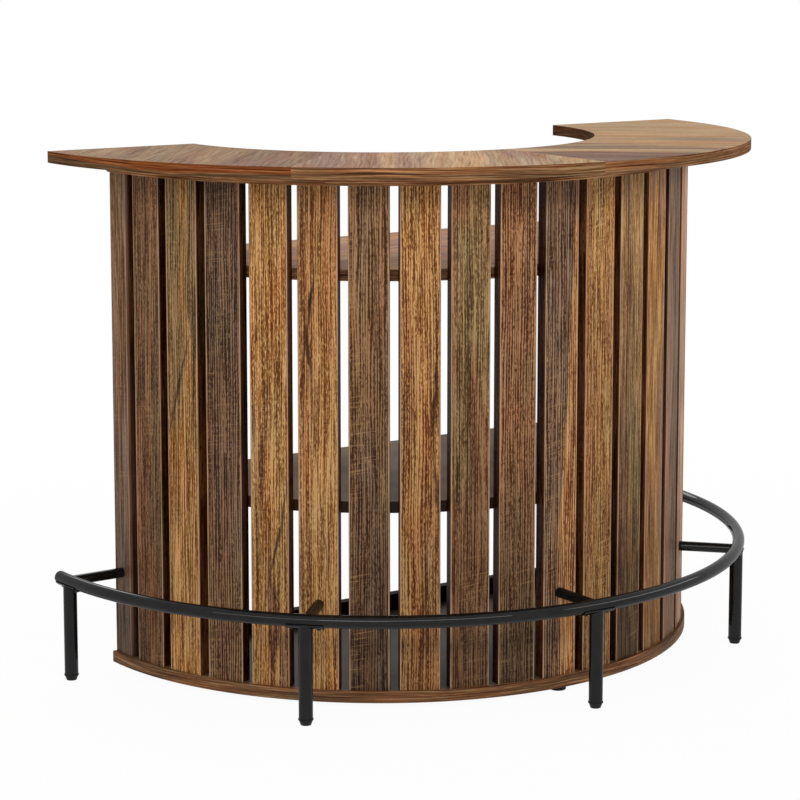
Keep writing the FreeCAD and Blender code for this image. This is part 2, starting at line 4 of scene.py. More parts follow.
import bpy
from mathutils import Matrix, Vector


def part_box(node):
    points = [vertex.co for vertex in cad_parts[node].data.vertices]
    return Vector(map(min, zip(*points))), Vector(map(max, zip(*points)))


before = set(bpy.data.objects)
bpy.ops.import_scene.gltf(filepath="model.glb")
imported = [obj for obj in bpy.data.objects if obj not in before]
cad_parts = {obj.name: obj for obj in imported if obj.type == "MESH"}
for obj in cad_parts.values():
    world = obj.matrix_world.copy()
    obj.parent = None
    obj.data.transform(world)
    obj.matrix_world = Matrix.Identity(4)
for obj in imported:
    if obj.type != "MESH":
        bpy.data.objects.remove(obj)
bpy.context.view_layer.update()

bl_info = {
    "name": "Half-Round Bar Counter",
    "version": (1, 0, 0),
    "blender": (4, 5, 0),
    "location": "3D View > Sidebar > Bar Counter",
    "description": "Wood, paint, plastic and steel finishes for a half-round bar counter, and its stage",
    "category": "Material",
}

# Metres, in the counter's own frame: +X to the right, +Y towards the bartender, +Z up.
# Every curved board and tube runs around one upright axis, the arc axis.

RAIL_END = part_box("rail_segment_1")[1]
ARC_AXIS_Y = RAIL_END.y
SLAT_COUNT = 21
SLAT_PITCH = math.radians(8.7)
SLAT_FACE = 0.640
SLAT_WIDTH = 0.078
END_SLAT_WIDTH = 0.066
SLAT_MIDDLE = (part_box("slat_11")[0].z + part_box("slat_11")[1].z) / 2
TOP_RADIUS = 0.770
TOP_INNER_RADIUS = 0.446
BASE_LIP_RADIUS = 0.637

# How far from an edge or a face a band begins, and how far from it that is full: the pale edge of wear and
# painted highlight, the painted shade on the slats' sides, the back edge's grain and the darker inner edge.
WORN_HIGHLIGHT_BAND = (0.0032, 0.0020)
WORN_HIGHLIGHT_DEPTH = (0.0030, 0.0020)
SIDE_SKIN = (0.0007, 0.0003)
BACK_SKIN = (0.0020, 0.0010)
INNER_EDGE_SKIN = (0.0100, 0.0020)

# How far the grain's lines and patches wander sideways, and half the width of a drying crack.
LINE_WANDER = 0.016
PATCH_WANDER = 0.060
CRACK_HALF_WIDTH = 0.0030

# How much each layer of the grain counts in the wood's tone. The gains are for a full fleck or rib.
STRIPE_SHARE = 0.30
LINE_SHARE = 0.50
FLAME_SHARE = 0.020
FLECK_LEAST = 0.10
FLECK_GAIN = 0.26
RIB_GAIN = 0.26
GLINT_GAIN = 0.40
WARM_SHARE = 0.6
ASH_SHARE = 0.8
LEVEL_SCRATCHES = 0.16

# In radians: the flames over their noise, the ribs to the metre, and how far stripes shift the ribs.
FLAME_WAVES = 70
RIB_WAVES = 1240
RIB_WANDER = 18


# ---- colours ----

def screen(red, green, blue):
    """A colour as it is read on a screen, 0 to 255, as Blender's linear light."""
    def linear(level):
        share = level / 255
        return share / 12.92 if share <= 0.04045 else ((share + 0.055) / 1.055) ** 2.4
    return (linear(red), linear(green), linear(blue))


# Each stain as four tones, from the dark of the grain to its pale flecks.
STAINS = {
    "golden": (screen(90, 48, 18), screen(138, 94, 48), screen(160, 114, 62), screen(198, 156, 104)),
    "amber": (screen(84, 42, 18), screen(132, 84, 45), screen(150, 102, 58), screen(190, 144, 96)),
    "chestnut": (screen(66, 32, 16), screen(106, 70, 43), screen(124, 85, 54), screen(166, 124, 88)),
    "walnut": (screen(48, 26, 15), screen(80, 53, 36), screen(96, 68, 47), screen(144, 112, 86)),
    "umber": (screen(56, 32, 14), screen(92, 64, 40), screen(108, 78, 51), screen(150, 118, 84)),
    "olive": (screen(62, 42, 20), screen(106, 80, 48), screen(130, 101, 64), screen(166, 136, 94)),
    # The grey smoke stain is partly wood tone and partly painted sheen, for slats seen at a grazing angle.
    "smoke_and_sheen": (screen(66, 50, 38), screen(104, 82, 65), screen(118, 95, 77), screen(142, 118, 98)),
    "rose": (screen(86, 54, 34), screen(134, 98, 72), screen(146, 110, 84), screen(166, 130, 104)),
    "ember": (screen(72, 28, 10), screen(118, 64, 32), screen(142, 82, 44), screen(168, 112, 66)),
    "cream": (screen(132, 100, 70), screen(172, 140, 106), screen(188, 158, 124), screen(208, 180, 146)),
    "tan": (screen(112, 80, 54), screen(156, 124, 94), screen(172, 141, 110), screen(196, 166, 134)),
    "blush": (screen(98, 68, 52), screen(144, 110, 90), screen(158, 125, 106), screen(184, 152, 130)),
    "mauve": (screen(86, 62, 52), screen(122, 96, 82), screen(138, 112, 98), screen(164, 138, 120)),
}
TONE_POSITIONS = (0.06, 0.38, 0.64, 0.95)
CRACK_SHADE = screen(46, 29, 16)
SLAT_SCRATCH = STAINS["golden"][3]
LEVEL_SCRATCH = STAINS["chestnut"][1]
# The slats' pale front edges: partly wear and partly a painted highlight along the arris.
WORN_EDGE_HIGHLIGHT = screen(176, 142, 112)
WARM_TINT = (1.08, 0.84, 0.68)
ASH_TINT = (0.86, 0.97, 1.04)
# Painted shade: the slats' sides are darkened for the shade in the narrow gaps between slats.
SIDE_SHADE_TINT = (0.24, 0.14, 0.11)
INSIDE_TINT = (0.42, 0.36, 0.30)


@dataclass
class Crack:
    """A dark drying crack: how far off the middle and how high it is, and how far it leans over."""

    across: float
    height: float
    length: float
    lean: float


@dataclass
class Board:
    """One board of rustic wood.

    The main stain gives way to the other one in patches, which take over the share of the face. The
    rise adds to that share towards the top of a slat, and the drift adds so much to the metre towards
    the right. The softness is how gently the patches' edges fade. The field after the drift is painted
    light: how much lighter a slat is painted from its middle to its top, for how the light falls along
    it. Fleck, ribs and hatch say how strong the flecks, the fine ribs and the saw marks are, and
    contrast does so for the grain as a whole. Patches, stripes, lines and flecks are so many to the
    metre, across and along the grain.
    """

    main: str
    other: str
    share: float = 0.4
    lightness: float = 1.0
    fleck: float = 0.6
    rise: float = 0.0
    drift: float = 0.0
    lift: float = 0.0
    ribs: float = 0.5
    hatch: float = 1.0
    contrast: float = 4.6
    softness: float = 0.085
    patches: tuple = (26, 1.8)
    stripes: tuple = (85, 3.0)
    lines: tuple = (400, 7)
    flecks: tuple = (440, 120)
    cracks: tuple = ()


# The slats from the left end to the right.
# Slats 1, 15 and 16 are seen at a grazing angle: their grey smoke stain is partly wood tone and partly
# painted sheen.
SLAT_BOARDS = (
    Board("umber", "smoke_and_sheen", 0.65, 1.08, 0.2, lift=0.26, ribs=0.2),
    Board("umber", "chestnut", 0.40, 0.78, 0.8, lift=0.23, ribs=0.5),
    Board("golden", "olive", 0.42, 0.95, 0.6, lift=-0.12, rise=0.55,
          cracks=(Crack(-0.012, 0.60, 0.11, 0.30),)),
    Board("walnut", "umber", 0.40, 0.81, 0.9, lift=-0.11, rise=-0.30, ribs=1.0),
    Board("golden", "chestnut", 0.25, 0.97, 1.0, lift=0.15, rise=-0.25,
          cracks=(Crack(0.020, 0.33, 0.08, 0.22),)),
    Board("golden", "amber", 0.40, 0.91, 0.9, rise=0.40,
          cracks=(Crack(-0.022, 0.68, 0.10, -0.10), Crack(-0.016, 0.78, 0.07, 0.15))),
    Board("walnut", "umber", 0.50, 0.82, 0.8, lift=0.45, rise=0.60, ribs=0.8, hatch=1.6),
    Board("amber", "golden", 0.60, 0.84, 1.0, lift=0.24, rise=0.55, ribs=0.7,
          cracks=(Crack(0.024, 0.60, 0.12, 0.05), Crack(0.026, 0.42, 0.09, -0.06))),
    Board("chestnut", "olive", 0.26, 0.75, 0.7, lift=0.45, rise=0.45, hatch=1.2),
    Board("chestnut", "umber", 0.42, 0.83, 1.0, lift=0.48, rise=-0.35, ribs=0.9),
    Board("walnut", "amber", 0.42, 1.06, 0.7, rise=-0.35, drift=14, ribs=0.9),
    Board("golden", "amber", 0.50, 0.80, 1.0, lift=0.25, ribs=0.7, hatch=3.0),
    Board("umber", "olive", 0.45, 1.00, 0.35, lift=0.65, rise=0.45, contrast=4.0),
    Board("rose", "golden", 0.40, 0.95, 0.2, lift=0.40, ribs=0.1, hatch=0.3),
    Board("smoke_and_sheen", "rose", 0.40, 0.93, 0.2, lift=0.14, ribs=0.1, hatch=0.3),
    # Painted sheen: this slat is twice as light for its grazing view.
    Board("rose", "smoke_and_sheen", 0.45, 2.00, 0.2, ribs=0.1),
    Board("chestnut", "umber", 0.40, 0.98, 0.6),
    Board("golden", "walnut", 0.35, 0.93, 0.8, cracks=(Crack(0.010, 0.55, 0.12, 0.08),)),
    Board("umber", "olive", 0.40, 0.96, 0.6),
    Board("amber", "chestnut", 0.40, 0.90, 0.8),
    Board("olive", "golden", 0.35, 0.93, 0.5),
)


# ---- shader expressions ----

class Socket:
    """One output of a node. Arithmetic on it adds Math nodes."""

    def __init__(self, nodes, output):
        self.nodes = nodes
        self.output = output

    def math(self, operation, first, second=0.5):
        return self.nodes.node("ShaderNodeMath", {"operation": operation}, {0: first, 1: second})

    def __add__(self, other):
        return self.math("ADD", self, other)

    def __radd__(self, other):
        return self.math("ADD", other, self)

    def __sub__(self, other):
        return self.math("SUBTRACT", self, other)

    def __rsub__(self, other):
        return self.math("SUBTRACT", other, self)

    def __mul__(self, other):
        return self.math("MULTIPLY", self, other)

    def __rmul__(self, other):
        return self.math("MULTIPLY", other, self)

    def __abs__(self):
        return self.math("ABSOLUTE", self)


class Nodes:
    """The nodes of one material or world, written as expressions."""

    def __init__(self, tree):
        self.tree = tree

    def node(self, kind, settings=None, sockets=None, output=0):
        """Adds a node, with its settings first and then its sockets, and gives one output or several."""
        node = self.tree.nodes.new(kind)
        for name, value in (settings or {}).items():
            if name == "stops":
                self.set_stops(node.color_ramp, value)
            else:
                setattr(node, name, value)
        for name, value in (sockets or {}).items():
            self.plug(value, node.inputs[name])
        if isinstance(output, tuple):
            return [Socket(self, node.outputs[name]) for name in output]
        return Socket(self, node.outputs[output])

    def plug(self, value, socket):
        """Links an output to a node's input, or sets the input to a plain value."""
        if isinstance(value, Socket):
            self.tree.links.new(value.output, socket)
        else:
            socket.default_value = value

    @staticmethod
    def set_stops(ramp, stops):
        """Gives a colour ramp its stops, each a position and a colour."""
        for index, (position, colour) in enumerate(stops):
            if index >= len(ramp.elements):
                ramp.elements.new(position)
            ramp.elements[index].position = position
            ramp.elements[index].color = (*colour, 1)

    def seen_directly(self):
        """1 for the rays that show the surround itself: from the camera, in gloss and through glass."""
        camera, glossy, through = self.node(
            "ShaderNodeLightPath", output=("Is Camera Ray", "Is Glossy Ray", "Is Transmission Ray"))
        return 1 - (1 - camera) * (1 - glossy) * (1 - through)


class Finish(Nodes):
    """A material for the counter, from its places and patterns to its shader."""

    def __init__(self, name, **constants):
        self.material = bpy.data.materials.new(name)
        self.material.use_nodes = True
        super().__init__(self.material.node_tree)
        self.shader = self.tree.nodes["Principled BSDF"]
        for socket, value in constants.items():
            self.shader.inputs[socket.replace("_", " ")].default_value = value

    def feed(self, **sockets):
        """Links what varies over the surface to the shader."""
        for name, value in sockets.items():
            self.plug(value, self.shader.inputs[name.replace("_", " ")])

    # places

    def place(self):
        """A point's own place on the counter."""
        return self.node("ShaderNodeTexCoord", output="Object")

    def parts(self, vector):
        return self.node("ShaderNodeSeparateXYZ", None, {0: vector}, ("X", "Y", "Z"))

    def joined(self, x, y, z):
        return self.node("ShaderNodeCombineXYZ", None, {0: x, 1: y, 2: z})

    def turned(self, vector, angle, centre_y=0.0):
        """A place seen from an upright axis at centre_y, after a turn that brings an angle to the front."""
        shift = (-centre_y * math.sin(angle), -centre_y * math.cos(angle), 0)
        return self.node("ShaderNodeMapping", None,
                         {"Vector": vector, "Location": shift, "Rotation": (0, 0, -angle)})

    def reach(self, x, y):
        """How far a point on the plan is from the middle."""
        flat = self.joined(x, y, 0.0)
        return self.node("ShaderNodeVectorMath", {"operation": "LENGTH"}, {0: flat}, output="Value")

    def faces_up(self):
        """1 on level faces, above or below, and 0 on upright ones."""
        normal = self.node("ShaderNodeNewGeometry", output="True Normal")
        return self.step(abs(self.parts(normal)[2]), 0.6, 0.8)

    # patterns

    def step(self, value, start, end):
        """0 before start, 1 after end, and a smooth rise between them."""
        return self.node("ShaderNodeMapRange", {"interpolation_type": "SMOOTHSTEP"},
                         {"Value": value, "From Min": start, "From Max": end})

    def noise(self, vector, scale, seed=0.0, detail=2.0, roughness=0.5):
        """Noise stretched by a scale along each axis, as waves to the metre."""
        place = self.node("ShaderNodeVectorMath", {"operation": "MULTIPLY_ADD"},
                          {0: vector, 1: scale, 2: (seed, seed * 0.37, seed * 1.91)})
        return self.node("ShaderNodeTexNoise", None,
                         {"Vector": place, "Scale": 1.0, "Detail": detail, "Roughness": roughness})

    def strong(self, value, contrast, centre=0.5):
        """A noise with its spread about its centre made wider."""
        return self.node("ShaderNodeMath", {"operation": "MULTIPLY_ADD", "use_clamp": True},
                         {0: value, 1: contrast, 2: 0.5 - centre * contrast})

    def wave(self, value):
        """A sine wave, from -1 to 1."""
        return self.node("ShaderNodeMath", {"operation": "SINE"}, {0: value})

    def ramp(self, value, stops):
        return self.node("ShaderNodeValToRGB", {"stops": stops}, {"Fac": value})

    def mix(self, share, first, second):
        """A colour between two others."""
        def tone(colour):
            return colour if isinstance(colour, Socket) else (*colour, 1)
        return self.node("ShaderNodeMix", {"data_type": "RGBA"},
                         {0: share, 6: tone(first), 7: tone(second)}, output=2)

    def tinted(self, colour, share, tint):
        """A colour partly multiplied by another."""
        stained = self.node("ShaderNodeVectorMath", {"operation": "MULTIPLY"}, {0: colour, 1: tint})
        return self.mix(share, colour, stained)

    def scaled(self, colour, factor):
        """A colour made lighter or darker."""
        return self.node("ShaderNodeVectorMath", {"operation": "SCALE"}, {0: colour, "Scale": factor})

    def bump(self, height, strength, distance):
        return self.node("ShaderNodeBump", None,
                         {"Height": height, "Strength": strength, "Distance": distance})


# ---- wood ----

def stops(stain, lightness):
    """A stain's tones as the stops of a colour ramp."""
    return [(position, tuple(lightness * level for level in tone))
            for position, tone in zip(TONE_POSITIONS, STAINS[stain])]


def wood_grain(finish, place, seed, board):
    """A board's colour and height, with its grain along the place's third axis.

    Each layer of noise has a number of its own, which keeps it apart from the others.
    """
    across, depth, along = finish.parts(place)
    wander = finish.noise(place, (5, 5, 2.2), seed) - 0.5
    straight = across + wander * LINE_WANDER
    leaning = finish.joined(across + wander * PATCH_WANDER, depth, along)

    def layer(place, counts, number, detail):
        wide, high = counts
        return finish.noise(place, (wide, wide, high), seed + number, detail, 0.6)

    patches = finish.strong(layer(leaning, board.patches, 3, 2.0), 3.4)
    if board.rise:
        patches = patches + (along - SLAT_MIDDLE) * (board.rise / SLAT_MIDDLE)
    if board.drift:
        patches = patches + across * board.drift
    flame = finish.wave(layer(leaning, board.patches, 5, 0.0) * FLAME_WAVES)
    stripes = layer(leaning, board.stripes, 7, 2.0)
    lines = layer(finish.joined(straight, depth, along), board.lines, 11, 1.0)
    flecks = layer(place, board.flecks, 17, 1.0)
    fleck_share = FLECK_LEAST + FLECK_GAIN * board.fleck
    tone = stripes * STRIPE_SHARE + lines * LINE_SHARE + flecks * fleck_share + flame * FLAME_SHARE
    if board.ribs:
        ribs = finish.wave(straight * RIB_WAVES + stripes * RIB_WANDER)
        tone = tone + ribs * flecks * (RIB_GAIN * board.ribs)
    tone = finish.strong(tone, board.contrast, 0.5 * (STRIPE_SHARE + LINE_SHARE + fleck_share))
    if board.fleck:
        glints = finish.step(layer(place, board.flecks, 29, 0.0), 0.58, 0.70)
        tone = tone + glints * (GLINT_GAIN * board.fleck)
    main = finish.ramp(tone, stops(board.main, board.lightness))
    other = finish.ramp(tone, stops(board.other, board.lightness))
    edge = 1.015 - board.share
    colour = finish.mix(finish.step(patches, edge - board.softness, edge + board.softness), main, other)
    wide, high = board.patches
    warmth = finish.strong(layer(leaning, (1.6 * wide, 2.0 * high), 23, 1.0), 3.0)
    colour = finish.tinted(colour, warmth * WARM_SHARE, WARM_TINT)
    ashen = finish.strong(layer(leaning, (0.5 * wide, 2.0 * high), 27, 1.0), 4.0)
    colour = finish.tinted(colour, ashen * ASH_SHARE, ASH_TINT)
    # Painted light: the slat's colour is scaled from its middle to its top, for how the light falls along it.
    if board.lift:
        colour = finish.scaled(colour, 1 + (along - SLAT_MIDDLE) * (board.lift / SLAT_MIDDLE))
    for crack in board.cracks:
        colour = finish.mix(drying_crack(finish, place, wander, crack), colour, CRACK_SHADE)
    return colour, lines * 0.5 + flecks * 0.5


def drying_crack(finish, place, wander, crack):
    """1 inside a ragged crack that tapers to both ends, 0 elsewhere."""
    across, _, along = finish.parts(place)
    up = along - crack.height
    ragged = finish.noise(place, (45, 45, 30), 50 * crack.height, 3.0)
    off = abs(across - crack.across - up * crack.lean + wander * 0.03 + (ragged - 0.5) * 0.010)
    width = finish.step(abs(up), crack.length, 0.0) * CRACK_HALF_WIDTH
    inside = finish.step(off - width, CRACK_HALF_WIDTH, -0.6 * CRACK_HALF_WIDTH)
    return inside * (0.30 + ragged * 1.1)


def saw_marks(finish, place, seed):
    """Fine pale scratches over the grain, long ones that rise a little and short ones, in patches."""
    across, depth, along = finish.parts(place)
    rising = finish.joined(across, depth, along - across * 0.15)
    falling = finish.joined(across, depth, along + across * 0.04)
    marks = finish.step(finish.noise(rising, (13, 13, 330), seed, 1.0), 0.57, 0.70)
    marks = marks + finish.step(finish.noise(falling, (60, 60, 400), seed + 5, 1.0), 0.62, 0.76) * 0.5
    patch = finish.step(finish.noise(place, (14, 14, 4), seed + 11), 0.44, 0.62)
    return marks * patch


def finish_wood(finish, colour, height, roughness, depth):
    """Links a wood's colour and roughness, and its grain as relief of a depth."""
    finish.feed(Base_Color=colour, Roughness=roughness, Normal=finish.bump(height, 0.6, depth))


def lacquered(name, gloss=0.22):
    """A wood finish with a thin satin lacquer over it."""
    return Finish(name, Specular_IOR_Level=0.0, Coat_Weight=gloss, Coat_Roughness=0.38)


def slat_angle(number):
    """A slat's angle from the front, positive to the right."""
    return (number - (SLAT_COUNT + 1) / 2) * SLAT_PITCH


def slat_wood(number, settings):
    """One slat's board: stain, grain, scratches, painted shade on the sides, worn edges with painted
    highlight.
    """
    finish = lacquered(f"slat_wood_{number:02d}")
    place = finish.turned(finish.place(), slat_angle(number), ARC_AXIS_Y)
    seed = 13.7 * number
    board = SLAT_BOARDS[number - 1]
    colour, height = wood_grain(finish, place, seed, board)
    scratches = saw_marks(finish, place, seed + 2)
    colour = finish.mix(scratches * (settings.scratches * board.hatch), colour, SLAT_SCRATCH)
    across, depth, _ = finish.parts(place)
    half = (END_SLAT_WIDTH if number in (1, SLAT_COUNT) else SLAT_WIDTH) / 2
    off_middle = abs(across)
    # The pale front edges are partly wear and partly a painted highlight along the arris.
    wear = finish.step(finish.noise(place, (60, 60, 9), seed + 21), 0.30, 0.55)
    near_front = finish.step(depth, *(skin - SLAT_FACE for skin in WORN_HIGHLIGHT_DEPTH))
    edge = finish.step(off_middle, *(half - skin for skin in WORN_HIGHLIGHT_BAND))
    colour = finish.mix(edge * near_front * (0.40 + wear * 0.60) * settings.edge_wear_and_highlight, colour, WORN_EDGE_HIGHLIGHT)
    # Painted shade on the slats' sides, for the shade in the narrow gaps between them.
    side = finish.step(off_middle, *(half - skin for skin in SIDE_SKIN))
    colour = finish.tinted(colour, side * settings.side_shade, SIDE_SHADE_TINT)
    finish_wood(finish, colour, height - scratches * 0.2, 0.50 + height * 0.22, 0.0008)
    return finish.material


def arc_place(finish, place, middle=0.0):
    """Up from the board's middle, out from the arc axis, and along the arc: the grain of an edge band."""
    across, depth, up = finish.parts(place)
    ahead = ARC_AXIS_Y - depth
    angle = finish.node("ShaderNodeMath", {"operation": "ARCTAN2"}, {0: across, 1: ahead})
    return finish.joined(up - middle, finish.reach(across, ahead), angle * TOP_RADIUS)


def edge_place(finish, place, node):
    """The grain of a level board's edge band: along the arc, and along the straight edge at the back."""
    low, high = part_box(node)
    middle = (low.z + high.z) / 2
    across, depth, up = finish.parts(place)
    back = finish.step(depth, *(high.y - skin for skin in BACK_SKIN))
    straight = finish.joined(up - middle, depth, across)
    return finish.node("ShaderNodeMix", {"data_type": "VECTOR"},
                       {0: back, 4: arc_place(finish, place, middle), 5: straight}, output=1)


def flat_place(finish, place, grain):
    """Across the grain, up, and along the grain of a level board."""
    across, depth, along = finish.parts(finish.turned(place, grain))
    return finish.joined(across, along, depth)


def level_wood(name, node, grain, seed, face, edge, inner_radius=0.0):
    """A level board with one grain on its faces and a band along its edges, darker on the inner one."""
    finish = lacquered(name, 0.10)
    place = finish.place()
    flat = flat_place(finish, place, grain)
    top, top_height = wood_grain(finish, flat, seed, face)
    band, band_height = wood_grain(finish, edge_place(finish, place, node), seed + 5, edge)
    if inner_radius:
        out = finish.parts(arc_place(finish, place))[1]
        inner_edge = finish.step(out, *(inner_radius + skin for skin in INNER_EDGE_SKIN))
        band = finish.tinted(band, inner_edge, INSIDE_TINT)
    level = finish.faces_up()
    scratches = saw_marks(finish, flat, seed + 1) * level
    colour = finish.mix(level, band, top)
    colour = finish.mix(scratches * LEVEL_SCRATCHES, colour, LEVEL_SCRATCH)
    height = finish.node("ShaderNodeMix", {"data_type": "FLOAT"}, {0: level, 2: band_height, 3: top_height})
    finish_wood(finish, colour, height, 0.42 + height * 0.22, 0.0005)
    return finish.material


def painted_board(name, tone, edge, seed):
    """A board with painted faces, lightly marked by use, and another tone on its edges."""
    finish = Finish(name, Specular_IOR_Level=0.0, Coat_Weight=0.12, Coat_Roughness=0.40)
    place = finish.place()
    cloud = finish.noise(place, (6, 6, 6), seed, 3.0)
    fine = finish.noise(place, (260, 260, 260), seed + 3, 2.0)
    face = finish.ramp(finish.strong(cloud * 0.7 + fine * 0.3, 2.0), [(0.2, tone[0]), (0.8, tone[1])])
    colour = finish.mix(finish.faces_up(), edge, face)
    finish.feed(Base_Color=colour, Roughness=0.42 + cloud * 0.25, Normal=finish.bump(fine, 0.25, 0.0003))
    return finish.material


# ---- metal and plastic ----

def powder_coat(name, seed):
    """Black powder coat: a fine orange peel, a hard clear gloss and faint dust."""
    finish = Finish(name, Specular_IOR_Level=0.0, Coat_Weight=0.45, Coat_Roughness=0.05)
    place = finish.place()
    peel = finish.noise(place, (900, 900, 900), seed, 1.0)
    dust = finish.noise(place, (30, 30, 30), seed + 2, 4.0, 0.6)
    colour = finish.ramp(dust, [(0.35, screen(10, 10, 10)), (0.70, screen(22, 21, 20))])
    finish.feed(Base_Color=colour, Roughness=0.30 + dust * 0.12, Normal=finish.bump(peel, 0.15, 0.0002))
    return finish.material


def moulded_plastic(name, seed):
    """Black plastic with a fine spark-eroded grain."""
    finish = Finish(name, Specular_IOR_Level=0.20)
    place = finish.place()
    grain = finish.noise(place, (1500, 1500, 1500), seed, 2.0)
    scuff = finish.noise(place, (90, 90, 90), seed + 1, 3.0)
    colour = finish.ramp(scuff, [(0.40, screen(14, 14, 14)), (0.75, screen(34, 33, 32))])
    finish.feed(Base_Color=colour, Roughness=0.48 + scuff * 0.2, Normal=finish.bump(grain, 0.3, 0.0002))
    return finish.material


def plated_steel(name, tones, seed):
    """Plated or blackened steel, with turning marks and a cloudy plating."""
    finish = Finish(name, Metallic=1.0)
    place = finish.place()
    cloud = finish.noise(place, (140, 140, 140), seed, 3.0)
    marks = finish.noise(place, (300, 300, 2600), seed + 4, 1.0)
    colour = finish.ramp(cloud, [(0.35, tones[0]), (0.70, tones[1])])
    finish.feed(Base_Color=colour, Roughness=0.28 + cloud * 0.25, Normal=finish.bump(marks, 0.2, 0.0002))
    return finish.material


def beech(name, seed):
    """Pale fluted dowel wood."""
    finish = Finish(name, Specular_IOR_Level=0.3)
    place = finish.place()
    grain = finish.noise(place, (600, 600, 40), seed, 3.0)
    colour = finish.ramp(grain, [(0.3, screen(176, 138, 98)), (0.7, screen(214, 180, 136))])
    finish.feed(Base_Color=colour, Roughness=0.55 + grain * 0.2, Normal=finish.bump(grain, 0.3, 0.0003))
    return finish.material


def dress(node, material):
    """Gives a CAD node its material."""
    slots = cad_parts[node].data.materials
    slots.clear()
    slots.append(material)


def nodes_named(*starts):
    """The CAD nodes whose names start in one of some ways, in order."""
    return sorted(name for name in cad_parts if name.startswith(starts))


# ---- settings ----

class StageSettings(bpy.types.PropertyGroup):
    """The camera and the studio around the counter."""

    camera_place: bpy.props.FloatVectorProperty(
        name="Camera", description="Where the camera stands", subtype="TRANSLATION", unit="LENGTH",
        default=(-2.999, -4.291, 1.494))
    camera_pitch: bpy.props.FloatProperty(
        name="Pitch", description="How far the camera looks down", subtype="ANGLE",
        default=math.radians(8.244))
    camera_yaw: bpy.props.FloatProperty(
        name="Yaw", description="How far the camera turns to the right of the back", subtype="ANGLE",
        default=math.radians(33.078))
    lens: bpy.props.FloatProperty(
        name="Lens", description="Focal length on a 36 mm wide frame", unit="CAMERA", default=119.27)
    shift: bpy.props.FloatProperty(
        name="Shift", description="The lens's rise or fall, as a share of the frame", default=-0.12)
    key_power: bpy.props.FloatProperty(
        name="Key", description="Strength of the lamp beside the camera", unit="POWER", default=96.0)
    side_power: bpy.props.FloatProperty(
        name="Side", description="Strength of the lamp on the left", unit="POWER", default=45.0)
    fill_power: bpy.props.FloatProperty(
        name="Fill", description="Strength of the lamp on the other side", unit="POWER", default=76.0)
    back_power: bpy.props.FloatProperty(
        name="Back", description="Strength of the lamp behind the counter", unit="POWER", default=75.0)
    ambient: bpy.props.FloatProperty(
        name="Ambient", description="Strength of the light from all around", default=0.55)


class CounterSettings(bpy.types.PropertyGroup):
    """What a user would change on the counter."""

    board_dark: bpy.props.FloatVectorProperty(
        name="Dark board", description="Paint of the bottom board and the middle shelf", subtype="COLOR",
        default=screen(70, 61, 52))
    board_light: bpy.props.FloatVectorProperty(
        name="Worn board", description="The same paint where it is worn", subtype="COLOR",
        default=screen(94, 83, 72))
    guard_colour: bpy.props.FloatVectorProperty(
        name="Guard", description="Paint of the rear guard", subtype="COLOR", default=screen(20, 20, 20))
    top_lightness: bpy.props.FloatProperty(
        name="Top lightness", description="Lightness of the counter top's faces", default=1.0)
    scratches: bpy.props.FloatProperty(
        name="Scratches", description="How pale the saw marks on the slats are", subtype="FACTOR",
        default=0.15, min=0.0, max=1.0)
    # Partly wear and partly a painted highlight along the slats' front edges.
    edge_wear_and_highlight: bpy.props.FloatProperty(
        name="Edge wear and highlight", description="How pale the slats' front edges are", subtype="FACTOR",
        default=0.90, min=0.0, max=1.0)
    # Painted shade on the slats' sides, for the shade in the gaps between them.
    side_shade: bpy.props.FloatProperty(
        name="Side shade", description="How dark the slats' sides are", subtype="FACTOR",
        default=0.95, min=0.0, max=1.0)


# ---- pieces ----

class BARCOUNTER_OT_slats(bpy.types.Operator):
    """Gives each of the upright slats its own board"""

    bl_idname = "barcounter.slats"
    bl_label = "Slats"

    def execute(self, context):
        for number in range(1, SLAT_COUNT + 1):
            dress(f"slat_{number:02d}", slat_wood(number, context.scene.counter_settings))
        return {"FINISHED"}


def edge_band(main, other, drift=0.0, lightness=0.95):
    """A band along a board's outline, with long straight lines."""
    return Board(main, other, 0.45, lightness, 0.0, drift=drift, ribs=0.0, contrast=3.6, patches=(110, 3.0),
                 stripes=(190, 3.0), lines=(420, 6), flecks=(420, 40))


def broad_face(main, other, share, lightness, drift=0.0, width=13, softness=0.30):
    """A wide face of quiet, cloudy wood."""
    return Board(main, other, share, lightness, 0.25, drift=drift, ribs=0.0, contrast=2.2, softness=softness,
                 patches=(width, 1.0), stripes=(2.6 * width, 1.4), lines=(210, 7), flecks=(220, 70))


class BARCOUNTER_OT_top(bpy.types.Operator):
    """Finishes the segments of the counter top and of the ring under it"""

    bl_idname = "barcounter.top"
    bl_label = "Counter top"

    def execute(self, context):
        lightness = context.scene.counter_settings.top_lightness
        right_face = broad_face("cream", "mauve", 0.44, 1.07 * lightness, drift=-1.5, width=14, softness=0.25)
        right_band = edge_band("umber", "chestnut", drift=60, lightness=1.22)
        # The grain's direction in degrees, the tree that the board is cut from, its face and its edge.
        looks = {
            1: (-38, 1, broad_face("tan", "blush", 0.40, 0.92 * lightness),
                edge_band("umber", "ember", drift=60, lightness=0.82)),
            2: (-34, 2, broad_face("blush", "cream", 0.74, 1.12 * lightness, drift=1.6, width=20),
                edge_band("umber", "chestnut", drift=40, lightness=1.25)),
            3: (55, 3, right_face, right_band),
            4: (55, 3, right_face, right_band),
        }
        for number, (grain, tree, face, band) in looks.items():
            node = f"counter_top_{number}"
            dress(node, level_wood(f"top_wood_{number}", node, math.radians(grain), 31.3 * tree, face, band,
                                   TOP_INNER_RADIUS))
        face = Board("umber", "chestnut", 0.4, 1.1)
        band = edge_band("chestnut", "umber", drift=20, lightness=1.5)
        for index, node in enumerate(nodes_named("top_ring")):
            dress(node, level_wood(f"ring_wood_{index + 1}", node, 0.0, 57.1 + 11 * index, face, band))
        return {"FINISHED"}


